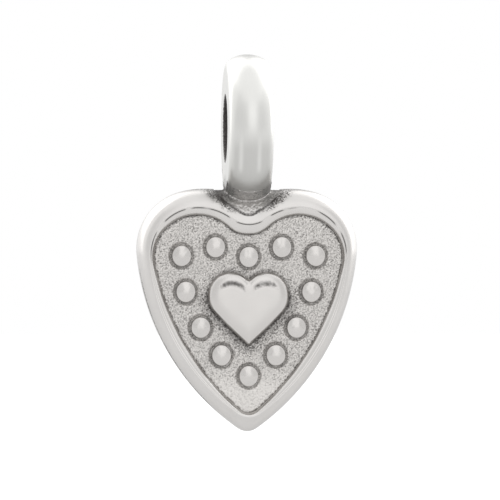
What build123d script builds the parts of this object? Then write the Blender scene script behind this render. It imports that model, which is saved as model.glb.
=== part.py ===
from build123d import *
from math import cos, radians, sin, sqrt
import os

# Heart shaped milagro charm on a fixed ring bail. Millimetres and degrees.
# Z is up, X runs through the bail's hole, and the charm faces -Y.
# The origin is the centre of the bail's hole.
# Heights along Plane.XZ are measured towards the front, which is -Y.

# Bail ring
bail_bore_diameter = 3.6
bail_wall = 2.25
bail_width = 2.4
bail_crown_radius = 1.75
bail_corner_edge = 0.22
bail_bore_edge = 0.12

# Heart body
heart_width = 12.0
heart_height = 13.2
heart_thickness = 2.5
back_setback = 1.1
back_edge_chamfer = 0.15
bail_sink = 0.78

# Rounded border, from the side wall in to the crest line
border_wall_height = 0.1
border_slope_depth = 1.4
border_side_width = 0.615
border_top_width = 0.97
border_tip_width = 0.84

# Bezel, from the crest line in to the stippled field
bezel_side_width = 0.29
bezel_top_width = 0.475
bezel_tip_width = 0.22
bezel_drop = 0.27

# Field that the beads and the small heart stand on
field_recess = 0.38
field_edge_chamfer = 0.07

# Bail seat in the notch between the lobes
seat_web = 0.36
seat_spread = 4.24
seat_shoulder = 0.52
seat_tip_radius = 0.25
seat_fillet = 0.3
seat_face_setback = 0.06
seat_dip = 0.13
seat_flare_setback = 0.3

# Beads
bead_width = 1.1
bead_height = 1.2
bead_rise = 0.52
bead_moat = 0.15
bead_seat_depth = 0.1

# Small raised heart in the middle
centre_width = 4.42
centre_wall = 0.12
centre_rise = 0.45
centre_moat = 0.12
centre_seat_depth = 0.1

# Fit between pieces that nest inside each other
seam = 0.02
overrun = 0.5

# Each outline is a chain of five arcs a side: notch, crown, shoulder, flank and tip.
# The shares are of the outline's own half width: crown, shoulder, flank and tip
# radius, then the depth of the notch. The angle is where crown and shoulder join.
wall_shares = (0.915, 0.535, 2.18, 0.147, 0.073)
crest_shares = (0.560, 0.488, 2.134, 0.202, 0.169)
field_shares = (0.472, 0.4225, 2.711, 0.132, 0.2094)
centre_shares = (0.550, 0.645, 12.0, 0.050, 0.175)
wall_join_angle = 12.2
crest_join_angle = 6.0
field_join_angle = 50.0
centre_join_angle = 68.7

# Steps round the border's quarter ellipse, from the wall to the crest
border_angles = (0.0, 22.5, 45.0, 67.5, 90.0)

# Steps up each bead's dome, from its foot to its top
bead_angles = (0.0, 28.0, 54.0, 78.0)

# Sections of the small heart's puffed face: share of its outline, share of its rise
puff_shares = ((1.0, 0.0), (0.97, 0.36), (0.90, 0.66), (0.76, 0.87), (0.52, 0.98))
puff_centre_share = 0.42

# Bead places: share of the field's half width, share of its height below its top
paired_bead_shares = (
    (0.714, 0.207),
    (0.353, 0.163),
    (0.669, 0.389),
    (0.510, 0.570),
    (0.290, 0.710),
)
middle_bead_shares = (0.2125, 0.8155)

# The small heart's top and its height, as shares of the field's height
centre_drop_share = 0.2875
centre_height_share = 0.3727

# Derived sizes
bail_outer_radius = bail_bore_diameter / 2 + bail_wall
lobe_top = bail_sink - bail_outer_radius
front = heart_thickness - back_setback
slope_foot = front - border_slope_depth
plate_front = slope_foot - border_wall_height
plate_thickness = plate_front + back_setback
field_front = front - field_recess
crest_width = heart_width - 2 * border_side_width
crest_top = lobe_top - border_top_width
crest_height = heart_height - border_top_width - border_tip_width
field_width = crest_width - 2 * bezel_side_width
field_top = crest_top - bezel_top_width
field_height = crest_height - bezel_top_width - bezel_tip_width
bead_floor = field_front - bead_seat_depth
centre_floor = field_front - centre_seat_depth
centre_top = field_top - centre_drop_share * field_height
centre_height = centre_height_share * field_height


def heart_values(width, top, height, shares, join_angle):
    """Turn an outline's sizes and shares into the list that heart_points reads."""
    half = width / 2
    crown, shoulder, flank, tip, notch = [half * share for share in shares]
    return [half, top, top - notch, crown, join_angle, shoulder, flank, top - height, tip]


def blend(first, last, share):
    """Values part of the way from one outline to another."""
    return [a + (b - a) * share for a, b in zip(first, last)]


def inset(values, amount):
    """The same outline moved inwards by an amount, or outwards where it is negative."""
    half, top, notch, crown, join_angle, shoulder, flank, tip, tip_radius = values
    return [
        half - amount,
        top - amount,
        notch - amount,
        crown - amount,
        join_angle,
        shoulder - amount,
        flank - amount,
        tip + amount,
        tip_radius - amount,
    ]


def shrink(values, share, middle):
    """The same outline scaled about a height on its axis."""
    half, top, notch, crown, join_angle, shoulder, flank, tip, tip_radius = values
    return [
        half * share,
        middle + (top - middle) * share,
        middle + (notch - middle) * share,
        crown * share,
        join_angle,
        shoulder * share,
        flank * share,
        middle + (tip - middle) * share,
        tip_radius * share,
    ]


def toward(start, end, distance):
    """The point at a distance from start on the ray through end."""
    direction = (end - start).normalized()
    return start + direction * distance


def heart_points(values):
    """Tangent points and radii of the right half, from the notch down to the tip."""
    half, top, notch, crown, join_angle, shoulder, flank, tip, tip_radius = values
    lean = Vector(sin(radians(join_angle)), cos(radians(join_angle)))
    crown_centre = Vector(half - shoulder - (crown - shoulder) * lean.X, top - crown)
    shoulder_centre = crown_centre + lean * (crown - shoulder)
    rise = notch - crown_centre.Y
    notch_radius = (crown_centre.X**2 + rise**2 - crown**2) / (2 * (crown - rise))
    notch_centre = Vector(0, notch + notch_radius)
    tip_centre = Vector(0, tip + tip_radius)
    to_shoulder = flank - shoulder
    to_tip = flank - tip_radius
    span = (tip_centre - shoulder_centre).length
    along = (to_shoulder**2 - to_tip**2 + span**2) / (2 * span)
    across = sqrt(to_shoulder**2 - along**2)
    ray = (tip_centre - shoulder_centre).normalized()
    inward = Vector(ray.Y, -ray.X)
    flank_centre = shoulder_centre + ray * along + inward * across
    points = [
        Vector(0, notch),
        toward(notch_centre, crown_centre, notch_radius),
        crown_centre + lean * crown,
        toward(flank_centre, shoulder_centre, flank),
        toward(flank_centre, tip_centre, flank),
        Vector(0, tip),
    ]
    centres = [notch_centre, crown_centre, shoulder_centre, flank_centre, tip_centre]
    radii = [notch_radius, crown, shoulder, flank, tip_radius]
    return points, centres, radii


def heart_face(values):
    """A filled heart outline, to add to a sketch."""
    points, centres, radii = heart_points(values)
    with BuildSketch() as heart:
        with BuildLine():
            for start, end, centre, radius in zip(points, points[1:], centres, radii):
                chord_middle = (start + end) / 2
                ThreePointArc(start, toward(centre, chord_middle, radius), end)
            mirror(about=Plane.YZ)
        make_face()
    return heart.sketch


def ring_profile(gap):
    """Section of the bail ring above its bore, grown by a gap."""
    half = bail_width / 2 + gap
    outer = bail_outer_radius + gap
    bore = bail_bore_diameter / 2 - gap
    sagitta = bail_crown_radius - sqrt(bail_crown_radius**2 - (bail_width / 2) ** 2)
    side = outer - sagitta
    with BuildSketch() as profile:
        with BuildLine():
            Polyline((-half, side), (-half, bore), (half, bore), (half, side))
            ThreePointArc((half, side), (0, outer), (-half, side))
        make_face()
        chamfer(profile.vertices().group_by(Axis.Y)[-1], bail_corner_edge)
        chamfer(profile.vertices().group_by(Axis.Y)[0], bail_bore_edge)
    return profile.sketch


def seat_outline(gap):
    """V shaped outline of the bail seat, with its flared top, grown by a gap."""
    half = seat_spread / 2 + gap
    seat_tip = crest_values[2] + seat_web - gap
    corner = lobe_top - seat_shoulder - gap
    with BuildSketch() as outline:
        with BuildLine():
            Polyline(
                (0, seat_tip),
                (half, corner),
                (half, lobe_top),
                (-half, lobe_top),
                (-half, corner),
                close=True,
            )
        make_face()
        fillet(outline.vertices().group_by(Axis.Y)[0], seat_tip_radius)
    return outline.sketch


wall_values = heart_values(heart_width, lobe_top, heart_height, wall_shares, wall_join_angle)
crest_values = heart_values(crest_width, crest_top, crest_height, crest_shares, crest_join_angle)
field_values = heart_values(field_width, field_top, field_height, field_shares, field_join_angle)
centre_values = heart_values(centre_width, centre_top, centre_height, centre_shares, centre_join_angle)

os.makedirs("parts", exist_ok=True)

# Bail ring: a D section with a flat bore, revolved about the hole's axis
with BuildPart() as bail_ring:
    with BuildSketch(Plane.XY):
        add(ring_profile(0))
    revolve(axis=Axis.X)

# The room that the ring takes up in its seat
with BuildPart() as ring_room:
    with BuildSketch(Plane.XY):
        add(ring_profile(seam))
    revolve(axis=Axis.X)

# The pocket that the seat takes up in the heart
with BuildPart() as seat_pocket:
    with BuildSketch(Plane.XZ.offset(-back_setback - overrun)):
        add(seat_outline(seam))
        with Locations((0, lobe_top + overrun / 2)):
            Rectangle(seat_spread + 2 * seam, overrun)
    extrude(amount=heart_thickness + 2 * overrun)

# Back plate: the plain back and most of the side wall
with BuildPart() as back_plate:
    with BuildSketch(Plane.XZ.offset(-back_setback)):
        add(heart_face(wall_values))
    extrude(amount=plate_thickness)
    chamfer(back_plate.faces().sort_by(Axis.Y)[-1].edges(), back_edge_chamfer)
    add(seat_pocket.part, mode=Mode.SUBTRACT)

# Outer border: a quarter ellipse from the wall to the crest, lofted round the heart
with BuildPart() as outer_border:
    with BuildSketch(Plane.XZ.offset(plate_front)):
        add(heart_face(wall_values))
    extrude(amount=border_wall_height)
    for angle in border_angles:
        height = slope_foot + border_slope_depth * sin(radians(angle))
        with BuildSketch(Plane.XZ.offset(height)):
            add(heart_face(blend(wall_values, crest_values, 1 - cos(radians(angle)))))
    loft(ruled=True)
    with BuildSketch(Plane.XZ.offset(plate_front)):
        add(heart_face(crest_values))
    extrude(amount=heart_thickness, mode=Mode.SUBTRACT)
    add(seat_pocket.part, mode=Mode.SUBTRACT)

# Inner bezel: a heart shaped band that falls from the crest to the field
bezel_lip = front - bezel_drop
with BuildPart() as inner_bezel:
    with BuildSketch(Plane.XZ.offset(plate_front)):
        add(heart_face(inset(crest_values, seam)))
    extrude(amount=front - plate_front)
    with BuildSketch(Plane.XZ.offset(plate_front)):
        add(heart_face(field_values))
    extrude(amount=heart_thickness, mode=Mode.SUBTRACT)
    with BuildSketch(Plane.XZ.offset(bezel_lip)):
        add(heart_face(field_values))
    with BuildSketch(Plane.XZ.offset(front)):
        add(heart_face(inset(crest_values, 2 * seam)))
    loft(mode=Mode.SUBTRACT)

bead_places = []
for across_share, down_share in paired_bead_shares:
    for side in (-1, 1):
        bead_places.append((side * across_share * field_width / 2, field_top - down_share * field_height))
for down_share in middle_bead_shares:
    bead_places.append((0, field_top - down_share * field_height))
bead_places.sort(key=lambda place: (-place[1], place[0]))

# Field plate: the stippled floor, with a shallow seat for each bead and the small heart
with BuildPart() as field_plate:
    with BuildSketch(Plane.XZ.offset(plate_front)):
        add(heart_face(inset(field_values, seam)))
    extrude(amount=field_front - plate_front)
    chamfer(field_plate.faces().sort_by(Axis.Y)[0].edges(), field_edge_chamfer)
    with BuildSketch(Plane.XZ.offset(bead_floor)):
        with Locations(*bead_places):
            Ellipse(bead_width / 2 + bead_moat, bead_height / 2 + bead_moat)
    extrude(amount=bead_seat_depth, mode=Mode.SUBTRACT)
    with BuildSketch(Plane.XZ.offset(centre_floor)):
        add(heart_face(inset(centre_values, -centre_moat)))
    extrude(amount=centre_seat_depth, mode=Mode.SUBTRACT)

# Centre heart: a low wall under a puffed face
puff_middle = centre_top - puff_centre_share * centre_height
puff_foot = centre_floor + centre_wall
with BuildPart() as centre_heart:
    with BuildSketch(Plane.XZ.offset(centre_floor)):
        add(heart_face(centre_values))
    extrude(amount=centre_wall)
    for outline_share, rise_share in puff_shares:
        with BuildSketch(Plane.XZ.offset(puff_foot + rise_share * centre_rise)):
            add(heart_face(shrink(centre_values, outline_share, puff_middle)))
    loft(ruled=True)

# The heart with its notch filled in, which gives the seat its rounded front
fill_values = list(wall_values)
fill_values[2] = lobe_top - seat_dip
seat_slope_depth = border_slope_depth - seat_face_setback
with BuildPart() as filled_heart:
    with BuildSketch(Plane.XZ.offset(-back_setback)):
        add(heart_face(fill_values))
    extrude(amount=slope_foot + back_setback)
    for angle in border_angles:
        height = slope_foot + seat_slope_depth * sin(radians(angle))
        with BuildSketch(Plane.XZ.offset(height)):
            add(heart_face(blend(fill_values, crest_values, 1 - cos(radians(angle)))))
    loft(ruled=True)

# Bail seat: fills the notch, flares up the ring's sides and is saddled to its crown
flare_foot = lobe_top - seat_dip
flare_top = flare_foot + seat_fillet
flare_half = bail_width / 2 + seat_fillet
flare_neck = bail_width / 2
with BuildPart() as bail_seat:
    with BuildSketch(Plane.XZ.offset(-back_setback)):
        add(seat_outline(0))
    extrude(amount=heart_thickness)
    add(filled_heart.part, mode=Mode.INTERSECT)
    with BuildSketch(Plane.XZ.offset(-back_setback + seat_flare_setback)):
        with BuildLine():
            Polyline(
                (-flare_half, flare_foot),
                (-flare_half, flare_foot - seat_dip),
                (flare_half, flare_foot - seat_dip),
                (flare_half, flare_foot),
            )
            RadiusArc((flare_half, flare_foot), (flare_neck, flare_top), -seat_fillet)
            Line((flare_neck, flare_top), (-flare_neck, flare_top))
            RadiusArc((-flare_neck, flare_top), (-flare_half, flare_foot), -seat_fillet)
        make_face()
    extrude(amount=slope_foot + back_setback - seat_flare_setback)
    add(ring_room.part, mode=Mode.SUBTRACT)

named_parts = {
    "bail_ring": bail_ring,
    "bail_seat": bail_seat,
    "back_plate": back_plate,
    "outer_border": outer_border,
    "inner_bezel": inner_bezel,
    "field_plate": field_plate,
    "centre_heart": centre_heart,
}

# Beads: an oval dome each, flat on the floor of its seat
for number, place in enumerate(bead_places, start=1):
    with BuildPart() as bead:
        for angle in bead_angles:
            out_share = cos(radians(angle))
            rise_share = sin(radians(angle))
            with BuildSketch(Plane.XZ.offset(bead_floor + bead_rise * rise_share)):
                with Locations(place):
                    Ellipse(bead_width / 2 * out_share, bead_height / 2 * out_share)
        loft(ruled=True)
    named_parts[f"bead_{number:02d}"] = bead

for name, builder in named_parts.items():
    builder.part.label = name
    export_step(builder.part, f"parts/{name}.step")
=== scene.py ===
import logging
from collections.abc import Callable, Iterator
from dataclasses import dataclass, replace
from enum import Enum
from functools import cached_property
from math import acos, cos, pi, radians, sin, sqrt

import bmesh
import bpy
from mathutils import Matrix, Vector, kdtree, noise


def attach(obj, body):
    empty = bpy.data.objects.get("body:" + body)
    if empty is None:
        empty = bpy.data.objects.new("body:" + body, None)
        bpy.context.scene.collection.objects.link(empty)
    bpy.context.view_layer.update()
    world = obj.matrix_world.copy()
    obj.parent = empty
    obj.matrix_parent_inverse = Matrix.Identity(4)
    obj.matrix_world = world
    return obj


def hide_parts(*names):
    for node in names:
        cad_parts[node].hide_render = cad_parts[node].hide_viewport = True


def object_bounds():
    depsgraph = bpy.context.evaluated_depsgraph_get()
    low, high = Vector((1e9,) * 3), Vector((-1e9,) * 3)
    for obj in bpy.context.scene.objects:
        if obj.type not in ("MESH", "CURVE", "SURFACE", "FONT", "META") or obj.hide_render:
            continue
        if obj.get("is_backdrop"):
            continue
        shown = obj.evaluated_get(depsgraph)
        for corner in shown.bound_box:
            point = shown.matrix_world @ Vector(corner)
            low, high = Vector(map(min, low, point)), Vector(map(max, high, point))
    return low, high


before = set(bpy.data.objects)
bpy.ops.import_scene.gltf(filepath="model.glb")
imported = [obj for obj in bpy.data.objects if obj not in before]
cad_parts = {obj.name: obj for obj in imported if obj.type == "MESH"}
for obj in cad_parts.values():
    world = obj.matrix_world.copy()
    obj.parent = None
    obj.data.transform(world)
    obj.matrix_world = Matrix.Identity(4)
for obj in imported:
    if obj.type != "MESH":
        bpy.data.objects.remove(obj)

# Looks of a heart shaped silver milagro charm on a fixed ring bail.
# The pieces are shaped in millimetres and brought to metres at the end. Z is up, X runs
# through the bail's hole and the charm faces -Y. Heights count towards the front. The
# limits of ramps and humps are places and distances in the charm's own frame, in
# millimetres, and patina is a share from 0 for bright metal to 1 for a dark hollow.

# On the ring, the border's wall and the field, the patina share also carries painted shade.
LOG = logging.getLogger("milagro")
CAD_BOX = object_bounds()
MM = 0.001
MERGE = 0.0005
BODY = "root"
PATINA_AND_SHADE = "patina"
GRAIN_GAIN = 1.8
ORIGIN = (0.0, 0.0, 0.0)
WHITE = (1.0, 1.0, 1.0, 1.0)


class Slot(Enum):
    """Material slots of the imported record."""

    RING = "polished_silver"
    SEAT = "pitted_silver"
    BACK = "back_silver"
    BORDER = "border_silver"
    BEZEL = "bezel_silver"
    FIELD = "stippled_silver"
    HEART = "heart_silver"
    BEAD = "bead_silver"


class Keep(Enum):
    """Which part of a mesh is left when a tool trims it."""

    OUTSIDE = "DIFFERENCE"
    INSIDE = "INTERSECT"


class Socket(Enum):
    """Kinds of socket on the effect groups."""

    NUMBER = "NodeSocketFloat"
    PLACE = "NodeSocketVector"
    COLOUR = "NodeSocketColor"


# Ramps and grain


def clamp(value: float, low: float = 0.0, high: float = 1.0) -> float:
    """Value held between two limits."""
    return min(high, max(low, value))


def smooth_step(low: float, high: float, value: float) -> float:
    """Ease from 0 at low to 1 at high."""
    share = clamp((value - low) / (high - low))
    return share * share * (3.0 - 2.0 * share)


def hump(value: float, middle: float, width: float) -> float:
    """Soft bump of height 1 at a middle value that is gone one width away."""
    return smooth_step(width, 0.0, abs(value - middle))


def grain(point: Vector, size: float, seed: float) -> float:
    """Smooth noise from -1 to 1 with grains of a given size."""
    found = GRAIN_GAIN * noise.noise(point / size + Vector((seed, seed * 1.7, -seed)))
    return clamp(found, -1.0, 1.0)


def mottle(point: Vector, size: float, seed: float) -> float:
    """Smooth noise from 0 to 1 with grains of a given size."""
    return 0.5 + 0.5 * grain(point, size, seed)


def upper_part(height: float) -> float:
    """How surely a height lies in the heart's upper part, from 0 to 1."""
    return smooth_step(-7.2, -5.4, height)


def mirrored(line: list[Vector]) -> list[Vector]:
    """Points of a right side mirrored to the left, in reverse order."""
    return [Vector((-point.x, point.y)) for point in reversed(line)]


# Outlines


@dataclass(frozen=True)
class Arc:
    """One arc of an outline, run from start to end round its centre."""

    start: Vector
    end: Vector
    centre: Vector
    radius: float

    def points(self, count: int) -> list[Vector]:
        """Points spaced evenly along the arc.

        Args:
            count: How many points, the start among them and the end left out.

        Returns:
            The points, in order.
        """
        first = (self.start - self.centre).normalized()
        turn = first.angle_signed((self.end - self.centre).normalized())
        found = []
        for step in range(count):
            spoke = first.copy()
            spoke.rotate(Matrix.Rotation(-turn * step / count, 2))
            found.append(self.centre + spoke * self.radius)
        return found


@dataclass(frozen=True)
class HeartOutline:
    """A heart outline of five tangent arcs a side, in millimetres."""

    half: float
    top: float
    notch: float
    crown: float
    join_angle: float
    shoulder: float
    flank: float
    tip: float
    tip_radius: float

    @classmethod
    def from_shares(
        cls, width: float, top: float, height: float, shares: tuple[float, ...], join_angle: float
    ) -> "HeartOutline":
        """Outline from its sizes and its shares of the half width.

        Args:
            width: Full width.
            top: Height of the lobes' tops.
            height: Height from the tip to the lobes' tops.
            shares: Crown, shoulder, flank and tip radius, then the notch's depth.
            join_angle: Angle at which crown and shoulder join, in degrees.

        Returns:
            The outline.
        """
        half = width / 2
        crown, shoulder, flank, tip, notch = (half * share for share in shares)
        return cls(half, top, top - notch, crown, join_angle, shoulder, flank, top - height, tip)

    def blend(self, other: "HeartOutline", share: float) -> "HeartOutline":
        """Outline part of the way to another.

        Args:
            other: Outline at a share of 1.
            share: How far towards the other outline.

        Returns:
            The outline between the two.
        """
        values = {
            name: value + (getattr(other, name) - value) * share
            for name, value in vars(self).items()
        }
        return HeartOutline(**values)

    def inset(self, amount: float) -> "HeartOutline":
        """The same outline moved inwards.

        Args:
            amount: How far inwards.

        Returns:
            The smaller outline.
        """
        names = ("half", "top", "notch", "crown", "shoulder", "flank", "tip_radius")
        moved = {name: getattr(self, name) - amount for name in names}
        return replace(self, tip=self.tip + amount, **moved)

    def shrink(self, share: float, middle: float) -> "HeartOutline":
        """The same outline scaled about a height on its axis.

        Args:
            share: Scale.
            middle: The height that stays.

        Returns:
            The scaled outline.
        """
        lengths = ("half", "crown", "shoulder", "flank", "tip_radius")
        scaled = {name: getattr(self, name) * share for name in lengths}
        for name in ("top", "notch", "tip"):
            scaled[name] = middle + (getattr(self, name) - middle) * share
        return replace(self, **scaled)

    def arcs(self) -> list[Arc]:
        """Work out the tangent arcs of the right half.

        Returns:
            The five arcs, from the notch down to the tip.
        """
        lean = Vector((sin(radians(self.join_angle)), cos(radians(self.join_angle))))
        crown = Vector(
            (
                self.half - self.shoulder - (self.crown - self.shoulder) * lean.x,
                self.top - self.crown,
            )
        )
        shoulder = crown + lean * (self.crown - self.shoulder)
        rise = self.notch - crown.y
        notch_radius = (crown.x**2 + rise**2 - self.crown**2) / (2 * (self.crown - rise))
        notch = Vector((0.0, self.notch + notch_radius))
        tip = Vector((0.0, self.tip + self.tip_radius))
        to_shoulder = self.flank - self.shoulder
        to_tip = self.flank - self.tip_radius
        span = (tip - shoulder).length
        along = (to_shoulder**2 - to_tip**2 + span**2) / (2 * span)
        across = sqrt(to_shoulder**2 - along**2)
        ray = (tip - shoulder).normalized()
        flank = shoulder + ray * along + Vector((ray.y, -ray.x)) * across
        points = [
            Vector((0.0, self.notch)),
            notch + (crown - notch).normalized() * notch_radius,
            crown + lean * self.crown,
            flank + (shoulder - flank).normalized() * self.flank,
            flank + (tip - flank).normalized() * self.flank,
            Vector((0.0, self.tip)),
        ]
        centres = [notch, crown, shoulder, flank, tip]
        radii = [notch_radius, self.crown, self.shoulder, self.flank, self.tip_radius]
        return [Arc(*values) for values in zip(points, points[1:], centres, radii)]

    def points(self, counts: tuple[int, ...] = (14, 44, 36, 64, 18)) -> list[Vector]:
        """Closed run of points, clockwise from the notch as seen from the front.

        Args:
            counts: Points on each arc of one side.

        Returns:
            The points of both sides.
        """
        right = [p for arc, count in zip(self.arcs(), counts) for p in arc.points(count)]
        tip = Vector((0.0, self.tip))
        return right + [tip] + mirrored(right[1:])


@dataclass(frozen=True)
class CharmSizes:
    """Sizes of the charm in millimetres, taken from its solids."""

    bore_radius: float = 1.8
    outer_radius: float = 4.05
    ring_width: float = 2.4
    ring_crown: float = 1.75
    heart_width: float = 12.0
    heart_height: float = 13.2
    lobe_top: float = -3.27
    wall_skin: float = 0.003
    back: float = -1.1
    plate_front: float = -0.1
    slope_foot: float = 0.0
    crest: float = 1.4
    bezel_lip: float = 1.13
    field_front: float = 1.02
    floor: float = 0.92
    seat_drop: float = 0.06
    seat_web: float = 0.36
    seat_slope: float = 0.72
    seat_bend: float = 0.3
    seat_half: float = 1.84
    seat_shoulder: float = 0.1
    bead_half_width: float = 0.55
    bead_half_height: float = 0.60

    @property
    def wall(self) -> HeartOutline:
        """Outline of the side wall, a skin's thickness inside the solid's."""
        full = HeartOutline.from_shares(
            width=self.heart_width,
            top=self.lobe_top,
            height=self.heart_height,
            shares=(0.915, 0.535, 2.18, 0.147, 0.073),
            join_angle=12.2,
        )
        return full.inset(self.wall_skin)

    @property
    def crest_line(self) -> HeartOutline:
        """Outline of the border's crest."""
        return HeartOutline.from_shares(
            width=10.77,
            top=-4.24,
            height=11.39,
            shares=(0.560, 0.488, 2.134, 0.202, 0.169),
            join_angle=6.0,
        )

    @property
    def field_line(self) -> HeartOutline:
        """Outline of the stippled field."""
        return HeartOutline.from_shares(
            width=10.19,
            top=-4.715,
            height=10.695,
            shares=(0.472, 0.4225, 2.711, 0.132, 0.2094),
            join_angle=50.0,
        )

    @property
    def heart_line(self) -> HeartOutline:
        """Outline of the small raised heart."""
        return HeartOutline.from_shares(
            width=4.42,
            top=-7.7898,
            height=3.98603,
            shares=(0.550, 0.645, 12.0, 0.050, 0.175),
            join_angle=68.7,
        )

    @property
    def bead_places(self) -> list[Vector]:
        """Centres of the twelve beads.

        Returns:
            The centres as x and z, from the top down and from left to right.
        """
        pair_shares = (
            (0.714, 0.207), (0.353, 0.163), (0.669, 0.389), (0.510, 0.570), (0.290, 0.710),
        )
        single_shares = (0.2125, 0.8155)
        line = self.field_line
        height = line.top - line.tip
        places = [
            Vector((side * across * line.half, line.top - down * height))
            for across, down in pair_shares
            for side in (-1, 1)
        ]
        places += [Vector((0.0, line.top - down * height)) for down in single_shares]
        return sorted(places, key=lambda place: (-place.y, place.x))

    @cached_property
    def seat_tip(self) -> float:
        """Height of the lowest point of the V that the seat fills."""
        return self.crest_line.notch + self.seat_web

    def seat_edge(self, across: float) -> float:
        """Height of the V's edge at a distance from its middle."""
        return self.seat_tip + self.seat_slope * (
            sqrt(across**2 + self.seat_bend**2) - self.seat_bend
        )


class OutlineTable:
    """A closed outline kept as short runs, for distances to it."""

    def __init__(self, line: list[Vector]) -> None:
        """Sort the points of an outline into a tree.

        Args:
            line: Points of the outline, in order.
        """
        self.line = line
        self.count = len(line)
        self.tree = kdtree.KDTree(self.count)
        for index, point in enumerate(line):
            self.tree.insert((point.x, point.y, 0.0), index)
        self.tree.balance()

    def nearest(self, place: Vector) -> Vector:
        """Nearest point on the outline, as x and z."""
        return self._search(place)[0]

    def distance(self, place: Vector) -> float:
        """Distance to the outline as seen from the front, negative outside it."""
        return self._search(place)[1]

    def _search(self, place: Vector) -> tuple[Vector, float]:
        """Find the nearest point of the runs beside the nearest corner.

        Args:
            place: Place to search from, of which only x and z are read.

        Returns:
            The point, and the distance to it, negative outside the outline.
        """
        at = Vector((place.x, place.z))
        _, index, _ = self.tree.find((at.x, at.y, 0.0))
        found = []
        for first in (index - 1, index):
            start = self.line[first % self.count]
            run = self.line[(first + 1) % self.count] - start
            foot = start + run * clamp((at - start).dot(run) / run.length_squared)
            gap = (at - foot).length
            side = run.x * (at.y - foot.y) - run.y * (at.x - foot.x)
            found.append((foot, -gap if side > 0 else gap))
        return min(found, key=lambda pair: abs(pair[1]))


# Mesh work


def into_scene(bm: bmesh.types.BMesh, name: str) -> bpy.types.Object:
    """Turn a mesh into an object of the scene.

    Args:
        bm: Mesh, which is freed.
        name: Name of the object and of its data.

    Returns:
        The object.
    """
    mesh = bpy.data.meshes.new(name)
    bm.to_mesh(mesh)
    bm.free()
    made = bpy.data.objects.new(name, mesh)
    bpy.context.scene.collection.objects.link(made)
    return made


def out_of_scene(rough: bpy.types.Object) -> bmesh.types.BMesh:
    """Apply an object's modifiers and take it out of the scene.

    Args:
        rough: Object, which is removed.

    Returns:
        The mesh that its modifiers leave.
    """
    bpy.context.view_layer.update()
    graph = bpy.context.evaluated_depsgraph_get()
    mesh = bpy.data.meshes.new_from_object(rough.evaluated_get(graph))
    bpy.data.objects.remove(rough)
    fresh = bmesh.new()
    fresh.from_mesh(mesh)
    return fresh


def trim(bm: bmesh.types.BMesh, tool: bpy.types.Object, keep: Keep) -> bmesh.types.BMesh:
    """Trim a closed mesh with a closed tool.

    Args:
        bm: Closed mesh, which is freed.
        tool: Closed tool.
        keep: Which part is left.

    Returns:
        The mesh that is left.
    """
    bmesh.ops.recalc_face_normals(bm, faces=bm.faces)
    body = into_scene(bm, "untrimmed")
    boolean = body.modifiers.new("trim", "BOOLEAN")
    boolean.operation = keep.value
    boolean.solver = "EXACT"
    boolean.object = tool
    return out_of_scene(body)


def spin_round(
    bm: bmesh.types.BMesh,
    geom: list[bmesh.types.BMVert | bmesh.types.BMEdge],
    axis: tuple[float, float, float],
    steps: int,
) -> None:
    """Spin a profile a full turn about an axis through the origin and close its poles.

    Args:
        bm: Mesh to work in.
        geom: Vertices and edges of the profile.
        axis: Axis to turn about.
        steps: Steps in the turn.
    """
    bmesh.ops.spin(
        bm,
        geom=geom,
        cent=ORIGIN,
        axis=axis,
        angle=2 * pi,
        steps=steps,
        use_merge=True,
        use_duplicate=False,
    )
    bmesh.ops.remove_doubles(bm, verts=bm.verts, dist=MERGE)


def lay_ring(bm: bmesh.types.BMesh, line: list[Vector]) -> list[bmesh.types.BMVert]:
    """Lay a closed ring of vertices in the plane where y is 0.

    Args:
        bm: Mesh to lay it in.
        line: Points of the ring, as x and z.

    Returns:
        The vertices, in order.
    """
    made = bmesh.ops.create_circle(bm, cap_ends=False, radius=1.0, segments=len(line))
    for vert, point in zip(made["verts"], line):
        vert.co = (point.x, 0.0, point.y)
    return made["verts"]


def extruded(bm: bmesh.types.BMesh, edges: list[bmesh.types.BMEdge]) -> set[bmesh.types.BMVert]:
    """Extrude edges and hand back the fresh vertices."""
    made = bmesh.ops.extrude_edge_only(bm, edges=edges)
    return {item for item in made["geom"] if isinstance(item, bmesh.types.BMVert)}


def press_in(bm: bmesh.types.BMesh, depth: float, share: Callable[[Vector], float]) -> None:
    """Press a surface in along its normals.

    Args:
        bm: Mesh to press.
        depth: Depth at a share of 1.
        share: Function from a vertex's place to the share of the depth there.
    """
    bmesh.ops.recalc_face_normals(bm, faces=bm.faces)
    bm.normal_update()
    for vert, normal in [(v, v.normal.copy()) for v in bm.verts]:
        vert.co -= normal * depth * share(vert.co)


def stain_and_shade(bm: bmesh.types.BMesh, mask: Callable[[Vector], float]) -> None:
    """Write the share of patina and painted shade on every vertex.

    Args:
        bm: Mesh to write on.
        mask: Function from a vertex's place to its share of patina and painted shade.
    """
    layer = bm.verts.layers.float.get(PATINA_AND_SHADE) or bm.verts.layers.float.new(PATINA_AND_SHADE)
    for vert in bm.verts:
        vert[layer] = clamp(mask(vert.co))


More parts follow.
